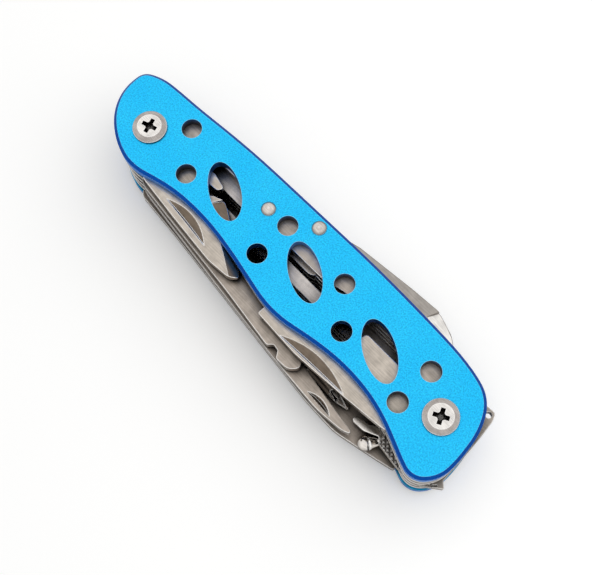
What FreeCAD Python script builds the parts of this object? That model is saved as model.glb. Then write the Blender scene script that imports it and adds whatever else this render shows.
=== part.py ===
# Folding pocket multi tool, millimetres.
#
# Two anodised scales hold five layers of fold-out tools between thin liners. Each layer has one
# back spring along the spine. The head pivot carries five tools and the tail pivot carries two. An
# awl folds out of the spine. A fixed tail plate has the key-ring lug and a file-cut edge.
#
# Frame while modelling: the head pivot is the origin, +X runs to the tail pivot, +Y to the spine
# and +Z through the stack, from the back scale's outer face. At the end all parts move together,
# so that the origin is under the middle of the whole tool, on the plane that it rests on.
import FreeCAD, Part
import math
import os

V = FreeCAD.Vector

# ---- driving dimensions ----
pivotDistance = 79.0      # head pivot to tail pivot
scaleThickness = 2.2
scaleBevel = 0.62
toolThickness = 1.8
sideClearance = 0.1       # each side of a tool, between liners
linerThickness = 0.5
linerInset = 0.15         # liners stand back from the scale outline
layerCount = 5

pivotRadius = 2.2         # barrel outside
pivotPlay = 0.05          # radial running clearance of a tool on its barrel
fixedPlay = 0.02          # radial clearance of fixed plates on barrels and rivets
tangRadius = 5.0
tangRoot = (0.3 * tangRadius, -0.94 * tangRadius)   # where a tool's edge side leaves the tang
hookRoot = (-0.8 * tangRadius, -0.6 * tangRadius)   # where the short hook's back leaves the tang
springGap = 0.3           # between a tang and the spring that bears on it
springOverrun = 1.0       # how far a spring's end reaches past the pivot's centre
springSeat = 2.7          # height of a spring arm's underside over the pivot's centre
screwRadius = 1.35        # pivot screw shank inside the barrel
headRadius = 3.4
headFlatRadius = 2.35
headHeight = 0.9
headRim = 0.35            # straight part of the screw head's side
driveLength = 3.1
driveWidth = 0.85
driveDepth = 1.2
driveTurn = 18.0          # degrees, how the cross recesses happen to stand
driveTurnTail = 28.0

rivetRadius = 1.1
rivetHeadRadius = 1.5
rivetHeadHeight = 0.75
springRivetAt = (28.6, 5.0)
awlRivetAt = (38.1, 9.2)

roundHoleRadius = 2.0
roundHoles = [(5.9, 5.7), (12.2, -1.4), (33.6, 5.3), (33.6, -2.6),
              (49.3, 5.0), (55.4, -1.7), (72.0, 4.7), (71.8, -3.6)]
slotLength = 12.4
slotWidth = 6.1
slotTurn = -29.5          # degrees
slots = [(20.1, 1.5), (42.5, 1.3), (62.9, 0.7)]

lugHoleAt = (5.2, 8.0)    # key-ring hole in the tail plate, from the tail pivot
lugHoleRadius = 0.6
lugRadius = 1.15

nickDepth = 0.75
edgeLand = 0.25           # thickness left at a ground cutting edge
edgeWidth = 3.0           # width of the ground band along a cutting edge
kerfDepth = 0.18          # file cuts on the tail plate
kerfWidth = 0.3
kerfPitch = 1.05            # along the row
kerfCount = 14
kerfReach = 2.6               # half the length of one file cut
kerfStart = (-5.6, -9.9)      # first file cut, from the tail pivot

# Points of the scale outline, counter-clockwise from the head end, for the drawn pivot distance.
drawnDistance = 79.0
scaleOutline = [(-10.35, 4.3), (-8.3, -1.9), (-3.2, -6.15), (3.0, -7.8), (10.0, -6.3), (20.0, -5.25),
                (34.0, -7.0), (44.5, -8.35), (52.0, -7.1), (60.5, -6.15), (70.5, -7.35), (78.5, -10.3),
                (83.0, -11.15), (86.1, -8.2), (86.65, -2.5), (85.3, 4.0), (82.2, 8.4), (77.0, 10.35),
                (66.0, 11.35), (51.0, 11.7), (33.0, 11.45), (15.0, 10.85), (0.0, 9.65), (-8.0, 8.3),
                (-9.8, 7.0)]

driverTip = (65.0, -9.35)  # cross-point driver
driverLean = -3.5         # degrees
driverShank = 12.4
driverPoint = 3.0
bulbAt = (-7.1, -11.6)    # round end of the pronged hook, from the tail pivot
bulbGap = 0.1             # between the bulb and the neighbouring layers
hookLayer = 4
hookNeck = (2.0, 2.6)         # from the bulb's centre to the prong's root
hookNeckSpread = 20           # degrees, half angle of the neck's cone
awlLayer = 2
awlTangRadius = 2.2
tailLayer = 3             # layer of the fixed tail plate
tailSpacerLayers = (2, 5)

# ---- places worked out from them ----
layerPitch = toolThickness + 2 * sideClearance + linerThickness
driverRadius = toolThickness / 2 + linerThickness / 2 + sideClearance
bulbRadius = toolThickness / 2 + 2 * sideClearance + linerThickness - bulbGap
stretch = pivotDistance / drawnDistance
innerHeight = layerCount * layerPitch - linerThickness
stackHeight = innerHeight + 2 * scaleThickness
headPivot = (0.0, 0.0)
tailPivot = (pivotDistance, 0.0)


def toolZ(layer):
    """Lower face of the tools in a layer. Layer 1 lies against the front scale."""
    top = stackHeight - scaleThickness - (layer - 1) * layerPitch
    return top - sideClearance - toolThickness


def linerZ(number):
    """Lower face of the liner between this layer and the next."""
    return toolZ(number) - sideClearance - linerThickness


# ---- profile helpers ----
def roundedWire(corners):
    """Closed wire through corners (x, y, radius), each corner rounded by an arc of its radius."""
    starts, ends, middles = [], [], []
    count = len(corners)
    for i, (x, y, radius) in enumerate(corners):
        here = V(x, y, 0)
        before = V(*corners[i - 1][:2], 0) - here
        after = V(*corners[(i + 1) % count][:2], 0) - here
        reach = min(before.Length, after.Length) * 0.49
        before.normalize()
        after.normalize()
        half = before.getAngle(after) / 2
        cut = min(radius / math.tan(half), reach) if radius > 0 and half < 1.56 else 0.0
        starts.append(here + before * cut)
        ends.append(here + after * cut)
        if cut:
            inward = (before + after).normalize()
            arcRadius = cut * math.tan(half)
            middles.append(here + inward * (arcRadius / math.sin(half) - arcRadius))
        else:
            middles.append(None)
    edges = []
    for i in range(count):
        if middles[i] is not None:
            edges.append(Part.Arc(starts[i], middles[i], ends[i]).toShape())
        following = starts[(i + 1) % count]
        if (following - ends[i]).Length > 1e-6:
            edges.append(Part.LineSegment(ends[i], following).toShape())
    return Part.Wire(edges)


def plate(wire, z, thickness):
    """Flat plate: the wire's face, extruded up from z."""
    face = Part.Face(wire)
    face.translate(V(0, 0, z))
    solid = face.extrude(V(0, 0, thickness))
    return solid


def disc(centre, radius, z, height):
    return Part.makeCylinder(radius, height, V(centre[0], centre[1], z))


def arcFrom(start, tangent, end):
    """Circular arc that leaves start along tangent and reaches end."""
    chord = end - start
    turn = math.atan2(tangent.x * chord.y - tangent.y * chord.x, tangent.dot(chord))
    if abs(turn) < 1e-3:
        return Part.LineSegment(start, end).toShape()
    side = V(chord.y, -chord.x, 0)
    middle = (start + end) * 0.5 + side * (math.tan(turn / 2) / 2)
    return Part.Arc(start, middle, end).toShape()


def scaleWire(inset=0.0):
    """The wavy scale outline as a chain of tangent arcs, moved inwards by inset."""
    drawn = [V(x * stretch, y, 0) for x, y in scaleOutline]
    curve = Part.BSplineCurve()
    curve.interpolate(Points=drawn, PeriodicFlag=True)
    tangents = [curve.tangent(curve.parameter(point))[0].normalize() for point in drawn]
    points = [point + V(-way.y, way.x, 0) * inset for point, way in zip(drawn, tangents)]
    edges = []
    for i in range(len(points)):
        start, way = points[i], tangents[i]
        end, nextWay = points[(i + 1) % len(points)], tangents[(i + 1) % len(points)]
        gap = end - start
        both = gap.dot(way + nextWay)
        bend = 2 * (1 - way.dot(nextWay))
        reach = gap.dot(gap) / (both + math.sqrt(both ** 2 + bend * gap.dot(gap)))
        joint = (start + end + (way - nextWay) * reach) * 0.5
        edges.append(arcFrom(start, way, joint))
        edges.append(arcFrom(end, -nextWay, joint))
    return Part.Wire(Part.__sortEdges__(edges))


def fromTail(corners):
    """Corners given from the tail pivot, in the handle's frame."""
    return [(pivotDistance + x, y, radius) for x, y, radius in corners]


def nick(solid, at, turn, length, arch, faceZ):
    """Half-moon nail nick cut by a tilted grinding wheel, its straight side at 'at' towards -Y."""
    wheel = (length ** 2 / 4 + nickDepth ** 2) / (2 * nickDepth)
    tilt = math.asin(nickDepth / arch)
    axis = V(0, math.cos(tilt), math.sin(tilt))
    up = V(0, -math.sin(tilt), math.cos(tilt))
    tool = Part.makeCylinder(wheel, 3 * arch, up * (wheel - nickDepth), axis)
    tool.rotate(V(0, 0, 0), V(0, 0, 1), turn)
    tool.translate(V(at[0], at[1], faceZ))
    return solid.cut(tool)


def ground(solid, start, end, z, width=edgeWidth, land=edgeLand):
    """Grinds both faces down to a thin edge along start to end. The metal lies to the right."""
    along = V(end[0] - start[0], end[1] - start[1], 0)
    length = along.Length
    angle = math.degrees(math.atan2(along.y, along.x))
    rise = (toolThickness - land) / 2
    for lower in (True, False):
        outer = -1.0 if lower else toolThickness + 1.0
        flat = 0.0 if lower else toolThickness
        edge = rise if lower else toolThickness - rise
        slope = (edge - flat) / width
        section = Part.makePolygon([V(0, -width, flat), V(0, 6.0, flat + slope * (6.0 + width)),
                                    V(0, 6.0, outer), V(0, -width, outer), V(0, -width, flat)])
        wedge = Part.Face(section).extrude(V(length, 0, 0))
        wedge.rotate(V(0, 0, 0), V(0, 0, 1), angle)
        wedge.translate(V(start[0], start[1], z))
        solid = solid.cut(wedge)
    return solid


def tang(pivot, z):
    return disc(pivot, tangRadius, z, toolThickness)


def bored(solid, pivot, z, radius):
    """Drills the pivot hole through a plate."""
    return solid.cut(disc(pivot, radius, z - 1, toolThickness + 2))


def toolPlate(corners, pivot, layer):
    """A tool blank: its profile and the round tang, drilled for its barrel."""
    z = toolZ(layer)
    blank = plate(roundedWire(corners), z, toolThickness).fuse(tang(pivot, z)).removeSplitter()
    return bored(blank, pivot, z, pivotRadius + pivotPlay)


def solidOf(shape):
    """The single solid of a boolean result."""
    return shape.Solids[0] if len(shape.Solids) == 1 else shape


# ---- scales and liners ----
def fixingHoles(z, height, radiusOver=fixedPlay):
    """Cutters for the two barrels and the two rivets."""
    cutters = [disc(headPivot, pivotRadius + radiusOver, z, height),
               disc(tailPivot, pivotRadius + radiusOver, z, height),
               disc(springRivetAt, rivetRadius + radiusOver, z, height),
               disc(awlRivetAt, rivetRadius + radiusOver, z, height)]
    return cutters


def slotCutter(centre, z, height):
    ellipse = Part.Ellipse(V(0, 0, 0), slotLength / 2, slotWidth / 2)
    cutter = plate(Part.Wire(ellipse.toShape()), z, height)
    cutter.rotate(V(0, 0, 0), V(0, 0, 1), slotTurn)
    cutter.translate(V(centre[0], centre[1], 0))
    return cutter


def scale(front):
    z = stackHeight - scaleThickness if front else 0.0
    body = plate(scaleWire(), z, scaleThickness)
    outerZ = stackHeight if front else 0.0
    rim = [edge for edge in body.Edges
           if abs(edge.BoundBox.ZMin - outerZ) < 1e-4 and abs(edge.BoundBox.ZMax - outerZ) < 1e-4]
    body = body.makeChamfer(scaleBevel, rim)
    for x, y in roundHoles:
        body = body.cut(disc((x * stretch, y), roundHoleRadius, z - 1, scaleThickness + 2))
    for x, y in slots:
        body = body.cut(slotCutter((x * stretch, y), z - 1, scaleThickness + 2))
    for cutter in fixingHoles(z - 1, scaleThickness + 2):
        body = body.cut(cutter)
    return solidOf(body)


def liner(number):
    """Thin plate between two layers. All but the last have a lower window and a stepped upper one."""
    z = linerZ(number)
    body = plate(scaleWire(linerInset), z, linerThickness)
    lower = [(20, -1.2, 1), (66, -1.2, 1), (66, -4.6, 1), (54, -4.6, 6), (46, -6.2, 6), (33, -4.9, 6),
             (20, -3.6, 1)]
    upper = [(16.5, 0.2, 0.6), (27.0, 0.2, 0.6), (27.0, 1.5, 0.3),
             (66, 1.5, 1), (66, 4.6, 1), (44.6, 4.6, 1),
             (42.6, 2.4, 2), (16.5, 2.4, 0.3)]
    windows = (lower, upper) if number < layerCount - 1 else ()
    for corners in windows:
        body = body.cut(plate(roundedWire(corners), z - 1, linerThickness + 2))
    for cutter in fixingHoles(z - 1, linerThickness + 2):
        body = body.cut(cutter)
    return solidOf(body)


# ---- back springs ----
def backSpring(layer, lowTop=False, tailArm=True):
    """Slip-joint spring: a deep middle on the rivets, a thin arm to each tang and a bearing end."""
    z = toolZ(layer)
    clear = tangRadius + springGap
    left = -springOverrun
    right = pivotDistance + springOverrun
    underside = [(left, springSeat, 0), (9.0, springSeat, 0), (14.0, 5.4, 3), (23.5, 5.4, 2),
                 (26.0, 3.1, 1), (45.0, 3.2, 4), (50.0, 4.4, 6)]
    if tailArm:
        underside += [(66.0, 5.0, 4), (69.5, springSeat, 1), (right, springSeat, 0)]
        spine = [(right, 8.0, 1.2), (76.0, 9.4, 8)]
    else:
        underside += [(62.0, 4.8, 1)]
        spine = [(62.0, 7.0 if lowTop else 10.6, 1)]
    if lowTop:
        spine += [(76.0, 9.6, 1), (72.5, 7.0, 2)] if tailArm else []
        spine += [(35.2, 6.6, 2), (33.0, 10.5, 2)]
    else:
        spine += [(60.0, 10.7, 20), (40.0, 11.0, 20)]
    spine += [(20.0, 10.3, 20), (2.0, 9.0, 10), (left, 8.6, 1)]
    body = plate(roundedWire(underside + spine), z, toolThickness)
    body = body.cut(disc(headPivot, clear, z - 1, toolThickness + 2))
    body = body.cut(disc(tailPivot, clear, z - 1, toolThickness + 2))
    for cutter in fixingHoles(z - 1, toolThickness + 2)[2:]:
        body = body.cut(cutter)
    return max(body.Solids, key=lambda solid: solid.Volume)


# ---- tools on the head pivot ----
def smallBlade():
    """Short pen blade with kick and choil, edge towards the spring."""
    corners = [(*tangRoot, 0), (6.0, -7.6, 4), (16.0, -8.7, 30), (27.5, -9.75, 12), (32.6, -9.3, 4),
               (34.0, -7.9, 0.5), (24.0, -0.7, 12), (20.6, 0.55, 0.4), (18.4, -0.3, 0.8), (15.0, -3.1, 1.4),
               (14.0, 0.6, 1.2), (18.0, 1.0, 0.7), (18.8, 2.2, 0.8), (15.3, 3.0, 0.6), (6.4, 2.2, 1),
               (3.0, 2.0, 0)]
    layer = 1
    blade = toolPlate(corners, headPivot, layer)
    blade = ground(blade, (20.4, 0.6), (34.4, -7.5), toolZ(layer), width=2.4)
    return solidOf(nick(blade, (18.6, -7.75), -5.7, 12.4, 1.9, toolZ(layer) + toolThickness))


def canOpener():
    """Can opener with the hooked notch near its rounded end."""
    corners = [(*tangRoot, 0), (6.0, -8.2, 4), (33.6, -11.0, 60), (46.6, -12.7, 0.8), (47.5, -11.7, 0.4),
               (48.8, -11.9, 0.5), (49.7, -13.2, 0.6), (52.8, -13.1, 2.4), (54.3, -11.2, 1.3),
               (53.0, -9.8, 0.8), (47.0, -8.8, 3), (36.0, -6.3, 8), (20.0, -1.6, 3), (14.0, 2.4, 3),
               (6.4, 2.2, 1), (3.0, 2.0, 0)]
    return solidOf(toolPlate(corners, headPivot, 2))


def slimBlade():
    """Slender blade with a leaf-shaped point and a small nick."""
    corners = [(*tangRoot, 0), (6.0, -8.4, 4), (30.0, -11.2, 60), (48.5, -13.2, 20), (61.5, -14.1, 20),
               (67.4, -13.5, 5), (69.9, -12.5, 0.8), (61.5, -11.3, 16), (50.0, -9.4, 16), (36.0, -6.2, 16),
               (14.0, 0.2, 4), (8.0, 2.2, 2), (3.0, 2.0, 0)]
    layer = 3
    blade = toolPlate(corners, headPivot, layer)
    blade = ground(blade, (16.0, -0.5), (36.0, -6.0), toolZ(layer), width=1.8)
    return solidOf(nick(blade, (61.0, -13.2), -3.0, 6.4, 1.1, toolZ(layer) + toolThickness))



def phillipsDriver():
    """Cross-point driver: flat bar, round shank and a fluted cone."""
    layer = 4
    z = toolZ(layer)
    corners = [(*tangRoot, 0), (5.0, -6.0, 3), (52.4, -10.6, 3), (54.4, -9.8, 0.5), (54.4, -7.4, 0.5),
               (50.0, -5.0, 5), (14.0, 0.6, 6), (8.0, 2.2, 2), (3.0, 2.0, 0)]
    bar = toolPlate(corners, headPivot, layer)
    middle = z + toolThickness / 2
    turn = math.radians(driverLean)
    along = V(math.cos(turn), math.sin(turn), 0)
    tip = V(driverTip[0], driverTip[1], middle)
    shank = Part.makeCylinder(driverRadius, driverShank - driverPoint, tip - along * driverShank, along)
    cone = Part.makeCone(driverRadius, driverRadius * 0.3, driverPoint, tip - along * driverPoint, along)
    point = shank.fuse(cone)
    flute = driverRadius * 0.62
    corner = flute - driverRadius * 0.35
    for quarter in range(4):
        groove = Part.makeBox(driverPoint * 2.2, driverRadius, driverRadius,
                              V(-driverPoint * 1.45, corner, corner))
        groove.rotate(V(0, 0, 0), V(0, 1, 0), -14)
        groove.rotate(V(0, 0, 0), V(1, 0, 0), 90 * quarter)
        groove.rotate(V(0, 0, 0), V(0, 0, 1), driverLean)
        groove.translate(tip)
        point = point.cut(groove)
    return solidOf(bar.fuse(point))


def largeBlade():
    """Main blade, nearly as long as the handle, its back along the open side."""
    corners = [(*tangRoot, 0), (4.4, -8.7, 2), (15.6, -9.6, 20), (39.0, -12.0, 60), (58.0, -13.9, 30),
               (66.0, -14.1, 14), (74.6, -12.2, 14), (79.8, -10.9, 0.5), (70.0, -6.0, 30), (50.0, -3.4, 30),
               (20.0, -0.4, 1), (18.4, -3.0, 1), (16.2, -3.0, 1), (15.0, 2.0, 0.8),
               (8.0, 2.2, 2), (3.0, 2.0, 0)]
    layer = 5
    blade = toolPlate(corners, headPivot, layer)
    return solidOf(ground(blade, (20.0, -0.3), (50.5, -3.3), toolZ(layer)))


# ---- tool on the tail pivot ----
def capLifter():
    """Cap lifter with a flat screwdriver end, on the tail pivot."""
    layer = 1
    corners = fromTail([(-3.0, 1.6, 0), (-12.0, 1.7, 1), (-20.4, 1.7, 0.8), (-21.2, -2.4, 2.0),
                        (-25.4, -5.2, 2.2), (-29.8, -3.6, 0.7), (-32.0, -6.0, 1.5), (-37.4, -7.2, 0.3),
                        (-37.4, -10.0, 0.3), (-27.0, -10.45, 20), (-14.6, -9.5, 30), (-5.4, -8.5, 3),
                        (-tangRoot[0], tangRoot[1], 0)])
    lifter = toolPlate(corners, tailPivot, layer)
    z = toolZ(layer)
    thin = 0.7            # metal ground off the back face at the screwdriver end
    lifter = lifter.cut(Part.makeBox(3.0, 6.0, 1 + thin, V(pivotDistance - 39.0, -11.5, z - 1)))
    nickAt = (pivotDistance - 23.4, -9.7)
    return solidOf(nick(lifter, nickAt, 2.6, 16.4, 2.1, z + toolThickness))


def prongedHook():
    """Short hook on the tail pivot with a leaf-shaped prong and a rounded bulb beside it."""
    z = toolZ(hookLayer)
    corners = fromTail([(*hookRoot, 0), (-6.6, -7.4, 2), (-9.1, -8.8, 3), (-11.9, -9.2, 0.6),
                        (-11.9, -10.5, 0.7), (-8.9, -10.3, 2), (-5.9, -8.9, 0.3), (-6.0, -9.9, 0.3),
                        (-4.9, -9.6, 0.5), (-4.3, -8.2, 2), (-tangRoot[0], tangRoot[1], 0)])
    hook = toolPlate(corners, tailPivot, hookLayer)
    x, y = pivotDistance + bulbAt[0], bulbAt[1]
    centre = V(x, y, z + toolThickness / 2)
    neck = V(hookNeck[0], hookNeck[1], 0)
    way = V(neck).normalize()
    spread = math.radians(hookNeckSpread)
    taper = Part.makeCone(bulbRadius * math.cos(spread), toolThickness / 4, neck.Length,
                          centre + way * bulbRadius * math.sin(spread), way)
    bulb = Part.makeSphere(bulbRadius, centre).fuse(taper)
    return solidOf(hook.fuse(bulb))


# ---- awl on the spine ----
def awl():
    """Broad-backed awl. Its outer end is ground to an edge on both faces."""
    z = toolZ(awlLayer)
    x, y = awlRivetAt
    corners = [(x, y - awlTangRadius, 0), (x + 4, y - 1.6, 2), (66.0, 9.9, 5), (71.6, 11.6, 0.4),
               (69.4, 13.4, 6), (64.8, 14.95, 6), (58.0, 14.5, 30), (x + 7.0, y + 4.0, 4),
               (x + 2.4, y + 2.9, 2), (x, y + awlTangRadius, 0)]
    blank = plate(roundedWire(corners), z, toolThickness)
    blank = blank.fuse(disc(awlRivetAt, awlTangRadius, z, toolThickness)).removeSplitter()
    blank = bored(blank, awlRivetAt, z, rivetRadius + pivotPlay)
    return solidOf(ground(blank, (64.6, 15.0), (72.6, 11.6), z, width=2.6))


# ---- fixed pieces at the tail ----
def fileCuts(z):
    """Cutters for the crossed file cuts on the tail plate's lower edge."""
    startX = pivotDistance + kerfStart[0]
    cutters = []
    for turn in (45, 135):
        for number in range(kerfCount):
            corner = V(-kerfReach, -kerfWidth / 2, -kerfDepth)
            cut = Part.makeBox(2 * kerfReach, kerfWidth, 2 * kerfDepth, corner)
            cut.rotate(V(0, 0, 0), V(0, 0, 1), turn)
            cut.translate(V(startX + number * kerfPitch, kerfStart[1], z + toolThickness))
            cutters.append(cut)
    return Part.makeCompound(cutters)


def tailPlate():
    """Fixed plate with the key-ring lug above, a file-cut edge below and a scraper corner."""
    z = toolZ(tailLayer)
    lugX, lugY = lugHoleAt
    corners = fromTail([(-5.4, -7.6, 0.4), (-5.2, -10.3, 0.5), (0.4, -11.0, 3), (5.6, -10.3, 0.8),
                        (9.1, -7.6, 0.2), (7.9, -6.6, 0.5), (7.6, -2.0, 20), (7.1, 3.8, 20),
                        (lugX + lugRadius * 1.2, lugY - 0.4, 0.5), (lugX + 0.7, lugY + lugRadius, 0.8),
                        (lugX - lugRadius, lugY + lugRadius * 0.9, 1.0), (-3.0, 6.8, 4), (-5.6, 3.0, 3)])
    lugAt = (pivotDistance + lugX, lugY)
    body = plate(roundedWire(corners), z, toolThickness)
    body = body.cut(disc(lugAt, lugHoleRadius, z - 1, toolThickness + 2))
    body = body.cut(fileCuts(z))
    return solidOf(bored(body, tailPivot, z, pivotRadius + fixedPlay))


def tailSpacer(layer):
    """Ring that fills a layer at the tail pivot, where no tool sits."""
    z = toolZ(layer) - sideClearance
    height = toolThickness + 2 * sideClearance
    ring = disc(tailPivot, tangRadius, z, height)
    return ring.cut(disc(tailPivot, pivotRadius + fixedPlay, z - 1, height + 2))


# ---- fasteners ----
def crossRecess(centre, faceZ, turn, upwards):
    depth = driveDepth if upwards else -driveDepth
    base = faceZ - depth
    cutters = []
    for angle in (turn, turn + 90):
        arm = Part.makeBox(driveLength, driveWidth, 2 * driveDepth,
                           V(-driveLength / 2, -driveWidth / 2, -driveDepth))
        arm.rotate(V(0, 0, 0), V(0, 0, 1), angle)
        arm.translate(V(centre[0], centre[1], faceZ))
        cutters.append(arm)
    core = Part.makeCone(0.35, driveWidth * 0.95, driveDepth, V(centre[0], centre[1], base),
                         V(0, 0, 1 if upwards else -1))
    return cutters[0].fuse(cutters[1]).fuse(core)


def screwHead(centre, seatZ, upwards):
    """Low head: a straight rim, then a cone up to the flat."""
    way = V(0, 0, 1 if upwards else -1)
    seat = V(centre[0], centre[1], seatZ)
    rim = Part.makeCylinder(headRadius, headRim, seat, way)
    crown = Part.makeCone(headRadius, headFlatRadius, headHeight - headRim, seat + way * headRim, way)
    return rim.fuse(crown)


def pivotBarrel(pivot, turn):
    """Sleeve nut through the whole stack, its head on the back scale."""
    body = disc(pivot, pivotRadius, 0, stackHeight - 0.1)
    body = body.fuse(screwHead(pivot, 0, False))
    bore = disc(pivot, screwRadius + fixedPlay, 2.0, stackHeight)
    return solidOf(body.cut(bore).cut(crossRecess(pivot, -headHeight, turn, False)))


def pivotScrew(pivot, turn):
    """Screw that enters the barrel from the front scale."""
    length = stackHeight - 4.0
    body = disc(pivot, screwRadius, stackHeight - length, length)
    body = body.fuse(screwHead(pivot, stackHeight, True))
    return solidOf(body.cut(crossRecess(pivot, stackHeight + headHeight, turn, True)))


def rivet(centre):
    """Shank through the stack, with a domed head in front and a flat closed head behind."""
    dome = (rivetHeadRadius ** 2 + rivetHeadHeight ** 2) / (2 * rivetHeadHeight)
    ball = Part.makeSphere(dome, V(centre[0], centre[1], stackHeight + rivetHeadHeight - dome))
    head = ball.common(disc(centre, rivetHeadRadius, stackHeight, rivetHeadHeight + 1))
    closed = Part.makeCone(rivetHeadRadius, rivetHeadRadius * 0.75, rivetHeadHeight / 2,
                           V(centre[0], centre[1], 0), V(0, 0, -1))
    return solidOf(disc(centre, rivetRadius, 0, stackHeight).fuse(head).fuse(closed))


# ---- assembly ----
def makeParts():
    parts = {"front_scale": scale(True), "back_scale": scale(False)}
    for number in range(1, layerCount):
        parts[f"liner_{number}"] = liner(number)
    for layer in range(1, layerCount + 1):
        lowTop = layer == awlLayer
        tailArm = layer != tailLayer
        parts[f"back_spring_{layer}"] = backSpring(layer, lowTop, tailArm)
    parts["small_blade"] = smallBlade()
    parts["can_opener"] = canOpener()
    parts["slim_blade"] = slimBlade()
    parts["phillips_driver"] = phillipsDriver()
    parts["large_blade"] = largeBlade()
    parts["cap_lifter"] = capLifter()
    parts["pronged_hook"] = prongedHook()
    parts["awl"] = awl()
    parts["tail_plate"] = tailPlate()
    for layer in tailSpacerLayers:
        parts[f"tail_spacer_{layer}"] = tailSpacer(layer)
    parts["head_pivot_barrel"] = pivotBarrel(headPivot, driveTurn)
    parts["head_pivot_screw"] = pivotScrew(headPivot, driveTurn)
    parts["tail_pivot_barrel"] = pivotBarrel(tailPivot, driveTurnTail)
    parts["tail_pivot_screw"] = pivotScrew(tailPivot, driveTurnTail)
    parts["spring_rivet"] = rivet(springRivetAt)
    parts["awl_rivet"] = rivet(awlRivetAt)
    return parts


def placed(parts):
    """Moves all parts so that the origin is under the middle of the whole tool."""
    boxes = [shape.optimalBoundingBox(False) for shape in parts.values()]
    low = [min(getattr(box, side) for box in boxes) for side in ("XMin", "YMin", "ZMin")]
    high = [max(getattr(box, side) for box in boxes) for side in ("XMax", "YMax", "ZMax")]
    shift = V(-(low[0] + high[0]) / 2, -(low[1] + high[1]) / 2, -low[2])
    for shape in parts.values():
        shape.translate(shift)
    return shift


parts = makeParts()
frameShift = placed(parts)
os.makedirs("parts", exist_ok=True)
for name, shape in parts.items():
    shape.exportStep(f"parts/{name}.step")
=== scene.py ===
import math
import bpy
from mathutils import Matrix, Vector


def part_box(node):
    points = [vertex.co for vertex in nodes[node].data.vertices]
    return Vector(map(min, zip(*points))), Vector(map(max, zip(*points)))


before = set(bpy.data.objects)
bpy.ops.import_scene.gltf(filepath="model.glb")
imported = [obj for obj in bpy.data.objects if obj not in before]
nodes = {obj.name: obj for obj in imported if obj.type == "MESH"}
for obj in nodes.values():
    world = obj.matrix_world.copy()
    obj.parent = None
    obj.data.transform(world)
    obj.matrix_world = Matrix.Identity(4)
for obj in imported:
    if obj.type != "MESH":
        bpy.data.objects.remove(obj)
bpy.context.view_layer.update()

mm = 0.001
print("frame loaded:", len(nodes), "nodes")


def fromHex(code):
    # sRGB hex to linear RGBA
    channels = [int(code[start:start + 2], 16) / 255 for start in (1, 3, 5)]
    linear = [c / 12.92 if c <= 0.04045 else ((c + 0.055) / 1.055) ** 2.4 for c in channels]
    return (*linear, 1.0)


def addNode(tree, kind, settings=None, **inputs):
    # one node: settings are its properties, inputs are socket values or (node, output) links;
    # an input called n2 is socket number 2, and Base_Color is the socket Base Color
    node = tree.nodes.new(kind)
    for name, value in (settings or {}).items():
        setattr(node, name, value)
    for name, value in inputs.items():
        key = int(name[1:]) if name[0] == "n" and name[1:].isdigit() else name.replace("_", " ")
        socket = node.inputs[key]
        if isinstance(value, tuple) and isinstance(value[0], bpy.types.Node):
            tree.links.new(value[0].outputs[value[1]], socket)
        else:
            socket.default_value = value
    return node


def newMaterial(name):
    material = bpy.data.materials.new(name)
    material.use_nodes = True
    material.node_tree.nodes.clear()
    return material, material.node_tree


def finishSurface(tree, shader):
    addNode(tree, "ShaderNodeOutputMaterial", Surface=(shader, 0))


def perMm(size):
    # texture scale, in cycles per metre, of a grain of this size in mm
    return 1.0 / (size * mm)


# the two pierced scales
scaleFinish = {
    "face": "#33C9FF",
    "faceDeep": "#25BEFC",           # where the dye has taken more
    "edge": "#1056B4",               # the bevel round the outline: painted shade, darker than the face; edgeDeep is its darker grain
    "edgeDeep": "#0C408B",
    "side": "#1E7ED7",               # the walls, square to the face: painted shade
    "shade": "#05102A",              # deep in the piercings
    "shadeReach": 4.0,               # mm
    "shadeBetween": (0.30, 0.66),    # openness at which the shade is full, and gone
    "grain": 0.27,                   # mm, blast pits drawn coarse enough to show
    "grainSpan": (0.35, 0.70),       # the part of the noise that is used
    "sparkle": (0.79, 1.27),         # painted shade at the bottoms and painted glints at the tops of the pits
    "pitBump": 0.35,
    "pitDepth": 0.02,                # mm
    "cloud": 9.0,                    # mm, slow change of dye depth
    "roughness": 0.42,
    # painted highlight along the rims of the piercings
    "rim": "#B9E4F8",
    "rimRadius": 0.16,               # mm, rounding that finds the square rims of the piercings for their painted highlight
    "rimBetween": (0.93, 0.86),      # how far a rim turns before its painted highlight shows, and shows fully
    "bevelBetween": (0.20, 0.50),    # how level a surface is where wall turns to bevel
    "faceBetween": (0.80, 0.95),     # and where bevel turns to face
}


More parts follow.
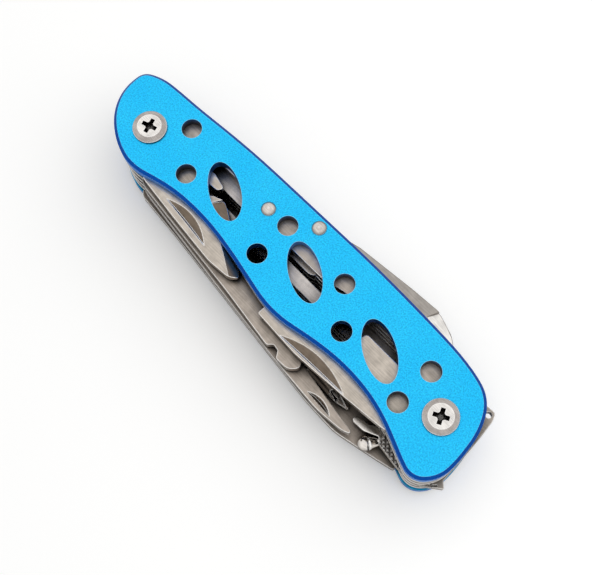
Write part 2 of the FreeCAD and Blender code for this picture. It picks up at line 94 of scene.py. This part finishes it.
def anodisedMaterial():
    # aluminium, bead blasted and dyed blue: soft sparkle on the face, painted as glints and shade in
    # the pits; painted shade makes the bevel and walls a deeper blue; painted highlight on the rims
    finish = scaleFinish
    material, tree = newMaterial("blastedBlueAnodisedAluminium")
    place = addNode(tree, "ShaderNodeTexCoord")
    grain = addNode(tree, "ShaderNodeTexNoise", Vector=(place, "Object"),
                    Scale=perMm(finish["grain"]), Detail=2.0)
    cloud = addNode(tree, "ShaderNodeTexNoise", Vector=(place, "Object"),
                    Scale=perMm(finish["cloud"]), Detail=1.0)

    # face, bevel and wall: painted shade darkens the bevel and the walls
    faceTone = addNode(tree, "ShaderNodeMix", {"data_type": "RGBA"}, n0=(cloud, 0),
                       n6=fromHex(finish["face"]), n7=fromHex(finish["faceDeep"]))
    # painted glints and shade on the blast pits
    sparkle = addNode(tree, "ShaderNodeMapRange", Value=(grain, 0),
                      From_Min=finish["grainSpan"][0], From_Max=finish["grainSpan"][1],
                      To_Min=finish["sparkle"][0], To_Max=finish["sparkle"][1])
    face = addNode(tree, "ShaderNodeVectorMath", {"operation": "SCALE"}, n0=(faceTone, 2),
                   Scale=(sparkle, 0))
    edge = addNode(tree, "ShaderNodeMix", {"data_type": "RGBA"}, n0=(grain, 0),
                   n6=fromHex(finish["edge"]), n7=fromHex(finish["edgeDeep"]))
    turn = addNode(tree, "ShaderNodeSeparateXYZ", Vector=(place, "Normal"))
    level = addNode(tree, "ShaderNodeMath", {"operation": "ABSOLUTE"}, n0=(turn, 2))
    onBevel = addNode(tree, "ShaderNodeMapRange", Value=(level, 0),
                      From_Min=finish["bevelBetween"][0], From_Max=finish["bevelBetween"][1])
    outer = addNode(tree, "ShaderNodeMix", {"data_type": "RGBA"}, n0=(onBevel, 0),
                    n6=fromHex(finish["side"]), n7=(edge, 2))
    onFace = addNode(tree, "ShaderNodeMapRange", Value=(level, 0),
                     From_Min=finish["faceBetween"][0], From_Max=finish["faceBetween"][1])
    colour = addNode(tree, "ShaderNodeMix", {"data_type": "RGBA"}, n0=(onFace, 0),
                     n6=(outer, 2), n7=(face, 0))

    # painted highlight on the rims, where a rounded corner leans away from the flat one
    rounded = addNode(tree, "ShaderNodeBevel", {"samples": 6}, Radius=finish["rimRadius"] * mm)
    plain = addNode(tree, "ShaderNodeNewGeometry")
    agree = addNode(tree, "ShaderNodeVectorMath", {"operation": "DOT_PRODUCT"}, n0=(rounded, 0),
                    n1=(plain, "Normal"))
    onRimHighlight = addNode(tree, "ShaderNodeMapRange", Value=(agree, "Value"),
                    From_Min=finish["rimBetween"][0], From_Max=finish["rimBetween"][1])
    rimmed = addNode(tree, "ShaderNodeMix", {"data_type": "RGBA"}, n0=(onRimHighlight, 0),
                     n6=(colour, 2), n7=fromHex(finish["rim"]))

    # dark in the depth of the piercings
    clear = addNode(tree, "ShaderNodeAmbientOcclusion", {"samples": 10},
                    Distance=finish["shadeReach"] * mm)
    openness = addNode(tree, "ShaderNodeMapRange", Value=(clear, "AO"),
                       From_Min=finish["shadeBetween"][0], From_Max=finish["shadeBetween"][1])
    shaded = addNode(tree, "ShaderNodeMix", {"data_type": "RGBA"}, n0=(openness, 0),
                     n6=fromHex(finish["shade"]), n7=(rimmed, 2))

    pits = addNode(tree, "ShaderNodeBump", Strength=finish["pitBump"],
                   Distance=finish["pitDepth"] * mm, Height=(grain, 0))
    metal = addNode(tree, "ShaderNodeBsdfPrincipled", Base_Color=(shaded, 2), Metallic=1.0,
                    Roughness=finish["roughness"], Normal=(pits, 0))
    finishSurface(tree, metal)
    return material


# The steels. flat: faces across the stack; slope: nail nicks, ground bevels, cones and domes;
# side: plate edges; the slope and side tones, set by how level a surface is, are painted light and
# shade;
# edge: painted highlight on the corners, painted shade on the awl's; line: mm, size of the grinding
# lines, drawn coarse enough to show; bump: how deep they look; shoulder: how level, 0 to 1, a
# surface is where the side tone ends; gap: openness at which the painted shade in the gaps is full,
# and gone.
steelBase = {
    # painted highlight on the corners
    "edge": "#F7F4F0",
    "shoulder": 0.25,
}
steels = {
    # ground flat and satin finished: pale, with soft lines; painted shade in the nail nicks and on
    # the ground bevels
    "satinGroundToolSteel": {
        "flat": "#C8BEB2", "slope": "#7A6D60", "side": "#A3998E",
        "roughness": 0.30, "line": 0.22, "bump": 0.10, "gap": (0.12, 0.50),
    },
    # the tools deeper in the stack: a greyer and browner copy of the tool steel, painted shade
    "shadedDeepToolSteel": {
        "flat": "#B6ABA0", "slope": "#7F7266", "side": "#998E84",
        "roughness": 0.34, "line": 0.25, "bump": 0.12, "gap": (0.30, 0.78),
    },
    # blanked strip, tumbled: even and dull
    "tumbledSpringSteel": {
        "flat": "#BBB1A7", "slope": "#83786F", "side": "#A49B91",
        "roughness": 0.38, "line": 0.35, "bump": 0.15, "gap": (0.08, 0.34),
    },
    # thin cold rolled sheet: the palest of the plates
    "rolledLinerSteel": {
        "flat": "#DED7D2", "slope": "#B8AFA7", "side": "#B6ACA2",
        "roughness": 0.36, "line": 0.30, "bump": 0.20, "gap": (0.26, 0.62),
    },
    # blanked and left as it came: grey, with painted shade on the walls
    "bluntSpacerSteel": {
        "flat": "#BFB6AC", "slope": "#887D71", "side": "#93887D",
        "roughness": 0.38, "line": 0.30, "bump": 0.20, "gap": (0.12, 0.45),
    },
    # cut across by a file: painted shade in the grooves between brighter crests
    "filedPlateSteel": {
        "flat": "#B3A99E", "slope": "#6D6054", "side": "#9A8F84",
        "roughness": 0.36, "line": 0.30, "bump": 0.20, "gap": (0.30, 0.80),
    },
    # dull body; painted highlight on the sloped faces of its point, painted shade along its edges
    "matteAwlSteel": {
        "flat": "#B1AAA3", "slope": "#F5F1EC", "side": "#A79E96", "edge": "#8C857E",
        "roughness": 0.42, "line": 0.25, "bump": 0.12, "gap": (0.12, 0.50),
    },
    # turned bright: near white head, with painted shade on the cone round it and on its sides
    "turnedScrewSteel": {
        "flat": "#EFEBE6", "slope": "#B4ADA8", "side": "#675F58",
        "roughness": 0.20, "line": 0.20, "bump": 0.04, "gap": (0.46, 0.85),
    },
    # domed by a punch: pale and slightly uneven, with painted shade on its sides
    "peenedRivetSteel": {
        "flat": "#F1EEEA", "slope": "#DDD7D0", "side": "#4A433D", "edge": "#E7E2DC",
        "roughness": 0.24, "line": 0.30, "bump": 0.30, "shoulder": 0.64, "gap": (0.14, 0.70),
    },
    # buffed: smooth, the brightest bulb and prong
    "buffedHookSteel": {
        "flat": "#F0ECE7", "slope": "#E8E2DB", "side": "#83786F",
        "roughness": 0.16, "line": 0.30, "bump": 0.03, "shoulder": 0.20, "gap": (0.08, 0.40),
    },
}
steelWear = {
    "edgeRadius": 0.27,              # mm, edges rounded by tumbling; also how far their painted highlight reaches
    "edgeHighlightBetween": (0.998, 0.985),    # how far an edge turns before its painted highlight shows, and shows fully
    "gapShadeReach": 6.0,                  # mm, how far into a gap the painted shade reaches
    # painted shade, the colour the gaps darken to
    "grime": "#0E0B09",
    "tarnish": 1.6,                  # mm, size of the faint stains
    "mottleSpan": (0.7, 1.3),        # the part of the noises that is used
    "mottle": (0.72, 1.12),          # brightness of the dullest and clearest spots
    "lineStretch": 0.06,             # grinding lines are drawn out this much along the tool
    "lineDepth": 0.02,               # mm
    "slopeWidth": 0.25,              # from the shoulder to the full slope tone
    "slopeEnd": 0.985,               # how level a surface is where the slope tone ends
    "flatStart": 0.9995,             # and where the flat tone starts
}


def steelMaterial(name):
    # stainless steel: fine grinding lines along the tool, painted highlights on the edges and
    # painted shade in the gaps
    finish = {**steelBase, **steels[name]}
    wear = steelWear
    material, tree = newMaterial(name)
    place = addNode(tree, "ShaderNodeTexCoord")

    # side, slope and flat tones by how level the surface is: painted light and shade
    turn = addNode(tree, "ShaderNodeSeparateXYZ", Vector=(place, "Normal"))
    level = addNode(tree, "ShaderNodeMath", {"operation": "ABSOLUTE"}, n0=(turn, 2))
    tone = addNode(tree, "ShaderNodeValToRGB", Fac=(level, 0))
    steps = tone.color_ramp.elements
    steps[0].position, steps[0].color = finish["shoulder"], fromHex(finish["side"])
    steps[1].position, steps[1].color = wear["flatStart"], fromHex(finish["flat"])
    for position in (finish["shoulder"] + wear["slopeWidth"], wear["slopeEnd"]):
        steps.new(position).color = fromHex(finish["slope"])

    # grinding lines and faint stains
    stretch = addNode(tree, "ShaderNodeMapping", Vector=(place, "Object"),
                      Scale=(wear["lineStretch"], 1.0, 1.0))
    lines = addNode(tree, "ShaderNodeTexNoise", Vector=(stretch, 0),
                    Scale=perMm(finish["line"]), Detail=3.0)
    stain = addNode(tree, "ShaderNodeTexNoise", Vector=(place, "Object"),
                    Scale=perMm(wear["tarnish"]), Detail=5.0)
    both = addNode(tree, "ShaderNodeMath", {"operation": "ADD"}, n0=(lines, 0), n1=(stain, 0))
    amount = addNode(tree, "ShaderNodeMapRange", Value=(both, 0),
                     From_Min=wear["mottleSpan"][0], From_Max=wear["mottleSpan"][1],
                     To_Min=wear["mottle"][0], To_Max=wear["mottle"][1])
    body = addNode(tree, "ShaderNodeVectorMath", {"operation": "SCALE"}, n0=(tone, 0),
                   Scale=(amount, 0))

    # painted highlights on the edges, painted shade on the awl's edges
    rounded = addNode(tree, "ShaderNodeBevel", {"samples": 6}, Radius=wear["edgeRadius"] * mm)
    plain = addNode(tree, "ShaderNodeNewGeometry")
    agree = addNode(tree, "ShaderNodeVectorMath", {"operation": "DOT_PRODUCT"}, n0=(rounded, 0),
                    n1=(plain, "Normal"))
    onEdgeHighlight = addNode(tree, "ShaderNodeMapRange", Value=(agree, "Value"),
                     From_Min=wear["edgeHighlightBetween"][0], From_Max=wear["edgeHighlightBetween"][1])
    withEdgeHighlight = addNode(tree, "ShaderNodeMix", {"data_type": "RGBA"}, n0=(onEdgeHighlight, 0),
                   n6=(body, 0), n7=fromHex(finish["edge"]))

    # painted shade in the gaps
    clear = addNode(tree, "ShaderNodeAmbientOcclusion", {"samples": 12},
                    Distance=wear["gapShadeReach"] * mm)
    openness = addNode(tree, "ShaderNodeMapRange", Value=(clear, "AO"),
                       From_Min=finish["gap"][0], From_Max=finish["gap"][1])
    colour = addNode(tree, "ShaderNodeMix", {"data_type": "RGBA"}, n0=(openness, 0),
                     n6=fromHex(wear["grime"]), n7=(withEdgeHighlight, 2))

    scratches = addNode(tree, "ShaderNodeBump", Strength=finish["bump"],
                        Distance=wear["lineDepth"] * mm, Height=(lines, 0), Normal=(rounded, 0))
    metal = addNode(tree, "ShaderNodeBsdfPrincipled", Base_Color=(colour, 2), Metallic=1.0,
                    Roughness=finish["roughness"], Normal=(scratches, 0))
    finishSurface(tree, metal)
    return material


blueScale = anodisedMaterial()
made = {name: steelMaterial(name) for name in steels}
print("materials made:", 1 + len(made))


def dress(node, material):
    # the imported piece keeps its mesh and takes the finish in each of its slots
    for slot in nodes[node].material_slots:
        slot.material = material


# pieces with a finish of their own
finishOf = {
    "front_scale": blueScale,
    "back_scale": blueScale,
    "small_blade": made["satinGroundToolSteel"],
    "cap_lifter": made["satinGroundToolSteel"],
    "awl": made["matteAwlSteel"],
    "pronged_hook": made["buffedHookSteel"],
    "tail_plate": made["filedPlateSteel"],
}
# kinds of piece, by how their names start
finishOfKind = {
    "back_spring": made["tumbledSpringSteel"],
    "liner": made["rolledLinerSteel"],
    "tail_spacer": made["bluntSpacerSteel"],
    "head_pivot": made["turnedScrewSteel"],
    "tail_pivot": made["turnedScrewSteel"],
    "spring_rivet": made["peenedRivetSteel"],
    "awl_rivet": made["peenedRivetSteel"],
}


def finishFor(name):
    # a piece's own finish, that of its kind, or that of the tools deeper in the stack
    for kind, material in finishOfKind.items():
        if name.startswith(kind):
            return material
    return finishOf.get(name, made["shadedDeepToolSteel"])


for name in nodes:
    dress(name, finishFor(name))
print("metal finishes on")

studio = {
    "floorTone": "#F2F2F1",
    "floorSize": 4.0,                # m
    "floorDrop": 0.02,               # mm below the tool, so that the two never share a plane
    "floorLift": 0.22,               # shown to the camera only, so the table reads as white paper
    "roomTone": "#FFFFFF",
    "skyLight": 0.45,                # room light on matt surfaces; seen or mirrored, it is 1
    "keyPower": 2.10,                # W
    "keySize": 0.80,                 # m
    "keyAt": (0.10, 0.16, 0.42),     # m
}


def makeTable():
    # matt white paper
    bpy.ops.mesh.primitive_plane_add(size=studio["floorSize"],
                                     location=(0, 0, -studio["floorDrop"] * mm))
    table = bpy.context.object
    table.name = "tablePaper"
    material, tree = newMaterial("mattWhitePaper")
    path = addNode(tree, "ShaderNodeLightPath")
    lift = addNode(tree, "ShaderNodeMath", {"operation": "MULTIPLY"}, n0=(path, "Is Camera Ray"),
                   n1=studio["floorLift"])
    paper = addNode(tree, "ShaderNodeBsdfDiffuse", Color=fromHex(studio["floorTone"]))
    glow = addNode(tree, "ShaderNodeEmission", Strength=(lift, 0))
    sheet = addNode(tree, "ShaderNodeAddShader", n0=(paper, 0), n1=(glow, 0))
    finishSurface(tree, sheet)
    table.data.materials.append(material)


def makeSky():
    # a plain white room all round
    world = bpy.data.worlds.new("softRoom")
    world.use_nodes = True
    tree = world.node_tree
    tree.nodes.clear()
    path = addNode(tree, "ShaderNodeLightPath")
    seen = addNode(tree, "ShaderNodeMath", {"operation": "MAXIMUM"}, n0=(path, "Is Camera Ray"),
                   n1=(path, "Is Glossy Ray"))
    seenOrThrough = addNode(tree, "ShaderNodeMath", {"operation": "MAXIMUM"}, n0=(seen, 0),
                            n1=(path, "Is Transmission Ray"))
    level = addNode(tree, "ShaderNodeMapRange", Value=(seenOrThrough, 0),
                    To_Min=studio["skyLight"], To_Max=1.0)
    room = addNode(tree, "ShaderNodeBackground", Color=fromHex(studio["roomTone"]),
                   Strength=(level, 0))
    addNode(tree, "ShaderNodeOutputWorld", Surface=(room, 0))
    bpy.context.scene.world = world


def makeKeyLight():
    # a soft lamp that lights the table and gives the tool its shadow
    light = bpy.data.lights.new("keySoftbox", "AREA")
    light.energy = studio["keyPower"]
    light.size = studio["keySize"]
    lamp = bpy.data.objects.new("keySoftbox", light)
    bpy.context.scene.collection.objects.link(lamp)
    lamp.location = studio["keyAt"]
    lamp.visible_glossy = False      # metal mirrors the room and the table, not the lamp
    lamp.rotation_euler = (-lamp.location).to_track_quat("-Z", "Y").to_euler()


cameraPose = {
    "lens": 68.72,                   # mm
    "sensor": 36.0,                  # mm
    "near": 0.01,                    # m
    "far": 20.0,                     # m
    "turn": (17.30, 2.50, 46.67),    # degrees about X, then Y, then Z
    "fromHeadPivot": (94.73, -38.27, 199.40),    # mm, from the head pivot at the scale's face
}


def makeCamera():
    # above the front scale, with the head pivot at the upper left
    lens = bpy.data.cameras.new("shotCamera")
    lens.lens = cameraPose["lens"]
    lens.sensor_width = cameraPose["sensor"]
    lens.clip_start = cameraPose["near"]
    lens.clip_end = cameraPose["far"]
    camera = bpy.data.objects.new("shotCamera", lens)
    bpy.context.scene.collection.objects.link(camera)
    low, high = (Vector(corner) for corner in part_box("head_pivot_screw"))
    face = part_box("front_scale")[1][2]
    pivot = Vector(((low.x + high.x) / 2, (low.y + high.y) / 2, face))
    camera.location = pivot + Vector(cameraPose["fromHeadPivot"]) * mm
    camera.rotation_euler = [math.radians(angle) for angle in cameraPose["turn"]]
    bpy.context.scene.camera = camera


makeTable()
makeSky()
makeKeyLight()
makeCamera()
bpy.context.scene.view_settings.view_transform = "Standard"
print("table, light and camera set")
